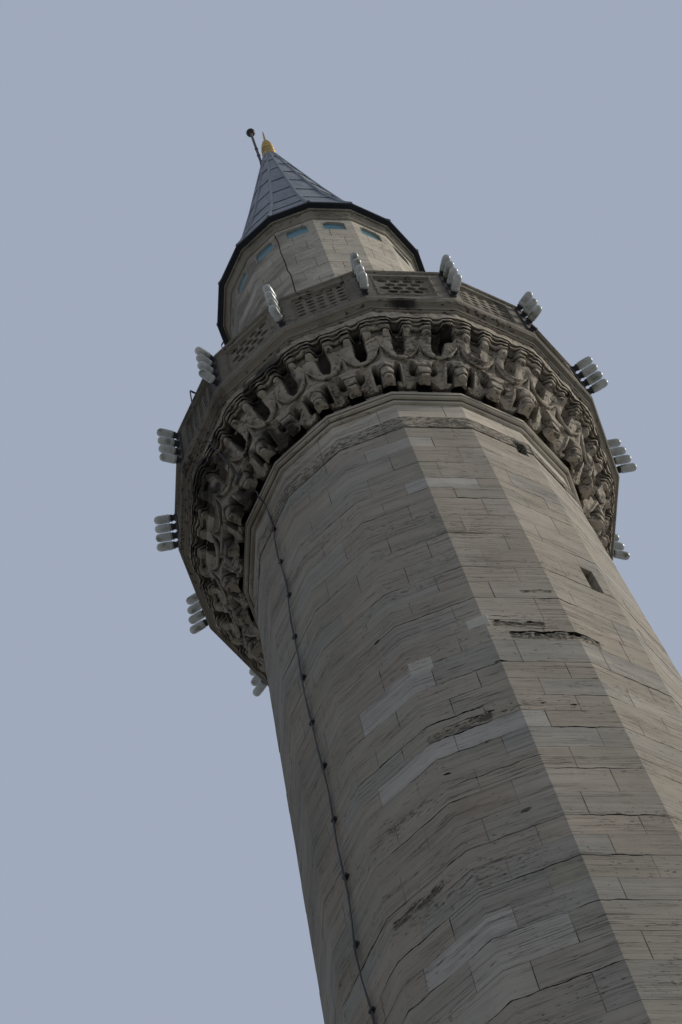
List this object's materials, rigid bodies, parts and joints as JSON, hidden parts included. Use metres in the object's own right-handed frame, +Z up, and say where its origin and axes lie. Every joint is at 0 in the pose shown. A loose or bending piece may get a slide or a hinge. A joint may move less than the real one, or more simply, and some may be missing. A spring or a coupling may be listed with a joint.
{
  "type": "minaret",
  "caption": "Polygonal stone minaret with a balcony on muqarnas corbelling, a pierced parapet with lamps and a lead-covered spire.",
  "frame": {"origin": "middle of the underside of the foundation plinth", "axes": "+Z up along the tower's axis, -Y towards the side the picture shows, +X to its right"},
  "size_m": [3.549, 3.549, 39.026],
  "materials": {
    "ashlar": "weathered grey-beige limestone ashlar, tooled, with open joints",
    "rough_stone": "coarse pitted shelly stone",
    "carved_stone": "carved limestone, soot-darkened in the hollows",
    "lead_sheet": "weathered blue-grey lead sheet with rolled joints",
    "gilding": "gilded copper",
    "dark_iron": "black weathered iron",
    "lamp_socket": "dark moulded sockets",
    "lamp_glass": "frosted glass jars, dusty",
    "tile_glaze": "teal glazed tile",
    "door_wood": "weathered dark planks"
  },
  "bodies": {
    "root": {"foundation_plinth": "ashlar", "base_wall_front": "ashlar", "base_wall_left": "ashlar", "base_wall_right": "ashlar", "base_wall_back": "ashlar", "entrance_door": "door_wood", "base_cornice": "ashlar", "transition": "ashlar", "foot_ring": "ashlar", "shaft_lower": "ashlar", "shaft_middle": "ashlar", "shaft_upper": "ashlar", "rough_band_course": "rough_stone", "neck_course": "ashlar", "ring_moulding": "carved_stone", "muqarnas_lower_tier": "carved_stone", "muqarnas_middle_tier": "carved_stone", "muqarnas_upper_tier": "carved_stone", "balcony_cornice": "carved_stone", "balcony_floor": "carved_stone", "parapet_panel_01": "carved_stone", "parapet_panel_02": "carved_stone", "parapet_panel_03": "carved_stone", "parapet_panel_04": "carved_stone", "parapet_panel_05": "carved_stone", "parapet_panel_06": "carved_stone", "parapet_panel_07": "carved_stone", "parapet_panel_08": "carved_stone", "parapet_panel_09": "carved_stone", "parapet_panel_10": "carved_stone", "parapet_panel_11": "carved_stone", "parapet_panel_12": "carved_stone", "parapet_panel_13": "carved_stone", "parapet_panel_14": "carved_stone", "parapet_panel_15": "carved_stone", "parapet_panel_16": "carved_stone", "parapet_rail": "carved_stone", "lamp_columns_front": "lamp_socket", "lamp_columns_right": "lamp_socket", "lamp_columns_back": "lamp_socket", "lamp_columns_left": "lamp_socket", "upper_shaft": "ashlar", "balcony_door": "door_wood", "upper_cornice": "carved_stone", "lead_eave": "lead_sheet", "lead_spire": "lead_sheet", "finial": "gilding", "lightning_rod": "dark_iron", "lightning_conductor": "dark_iron"}
  },
  "joints": []
}
